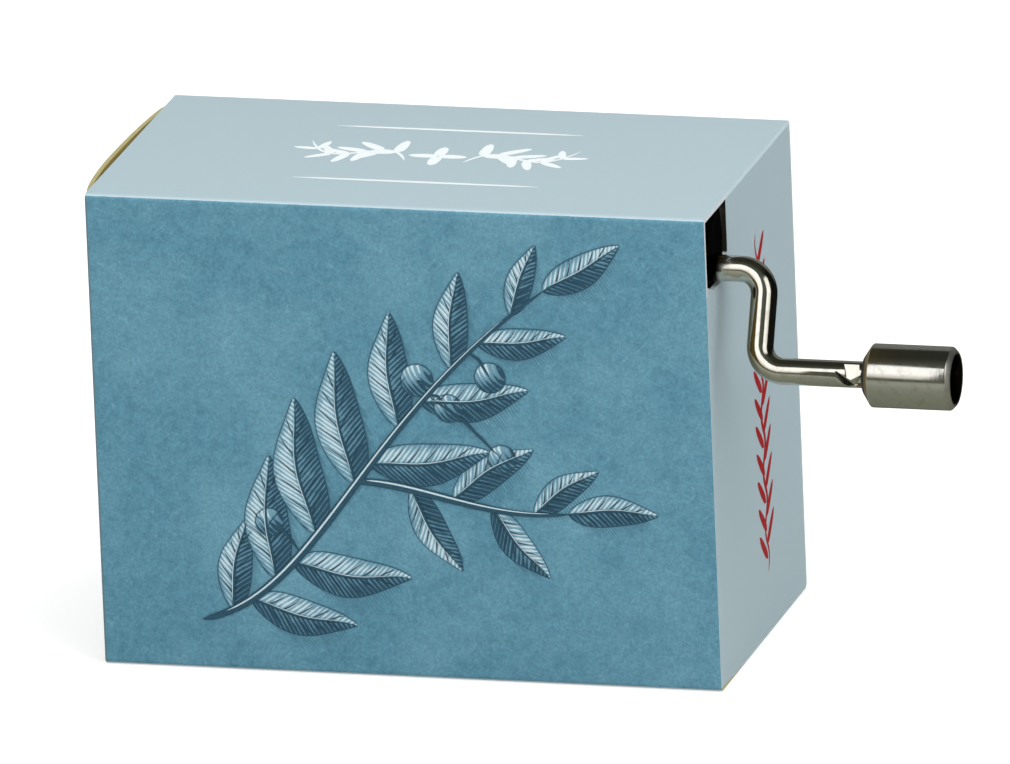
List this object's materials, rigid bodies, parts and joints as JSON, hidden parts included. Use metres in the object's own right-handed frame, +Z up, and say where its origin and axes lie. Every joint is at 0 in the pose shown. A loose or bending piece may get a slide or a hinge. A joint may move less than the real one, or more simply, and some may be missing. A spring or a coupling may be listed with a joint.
{
  "type": "hand-cranked music box",
  "caption": "Small music box in a folded printed carton: turning the bent steel crank drives a worm, a pinned cylinder and a tuned steel comb; one end flap opens.",
  "frame": {"origin": "middle of the carton's underside, on the surface it stands on", "axes": "+X along the carton towards the crank, +Y from the printed front to the back, +Z up"},
  "size_m": [0.0781, 0.0321, 0.0425],
  "materials": {
    "printed_board": "printed coated board, satin",
    "raw_board": "uncoated board, matt",
    "tape": "double-sided foam tape",
    "zinc_casting": "die-cast zinc, matt",
    "spring_steel": "ground spring steel",
    "lead": "soft lead, dull",
    "plated_steel": "nickel-plated steel, bright",
    "brass": "turned brass",
    "nylon": "moulded nylon"
  },
  "bodies": {
    "carton": {"carton_sleeve": "printed_board", "right_end_flap": "printed_board", "right_dust_flap_top": "raw_board", "right_dust_flap_bottom": "raw_board", "tape_strips": "tape", "base_plate": "zinc_casting", "comb": "spring_steel", "bass_weights": "lead", "comb_screws": "plated_steel", "bearing_bracket": "plated_steel", "bracket_screws": "plated_steel"},
    "crank": {"crank_rod": "plated_steel", "worm": "brass", "shaft_clip": "spring_steel"},
    "knob": {"knob_sleeve": "plated_steel"},
    "cylinder": {"cylinder_drum": "brass", "drum_cap_lower": "brass", "drum_cap_upper": "brass", "cylinder_arbor": "plated_steel", "worm_wheel": "nylon"},
    "left_flap": {"left_end_flap": "printed_board"},
    "dust_flap_top": {"left_dust_flap_top": "raw_board"},
    "dust_flap_bottom": {"left_dust_flap_bottom": "raw_board"}
  },
  "joints": [
    {"name": "crank_turn", "type": "hinge", "parent": "carton", "child": "crank", "pos_m": [0.02, -0.01075, 0.037], "axis": [1, 0, 0], "continuous": true},
    {"name": "knob_spin", "type": "hinge", "parent": "crank", "child": "knob", "pos_m": [0.05, -0.01456, 0.02918], "axis": [1, 0, 0], "continuous": true},
    {"name": "cylinder_turn", "type": "hinge", "parent": "carton", "child": "cylinder", "pos_m": [0.0125, -0.00375, 0.02], "axis": [0, 0, 1], "continuous": true},
    {"name": "left_flap_open", "type": "hinge", "parent": "carton", "child": "left_flap", "pos_m": [-0.0275, 0.01435, 0.02], "axis": [0, 0, -1], "range_deg": [0, 120]},
    {"name": "dust_top_open", "type": "hinge", "parent": "carton", "child": "dust_flap_top", "pos_m": [-0.027, 0, 0.0421], "axis": [0, 1, 0], "range_deg": [0, 30]},
    {"name": "dust_bottom_open", "type": "hinge", "parent": "carton", "child": "dust_flap_bottom", "pos_m": [-0.027, 0, 0.0004], "axis": [0, -1, 0], "range_deg": [0, 30]}
  ],
  "couplings": [
    {"joint": "cylinder_turn", "follows": "crank_turn", "ratio": 0.05},
    {"joint": "dust_top_open", "follows": "left_flap_open", "ratio": 0.25},
    {"joint": "dust_bottom_open", "follows": "left_flap_open", "ratio": 0.25}
  ]
}
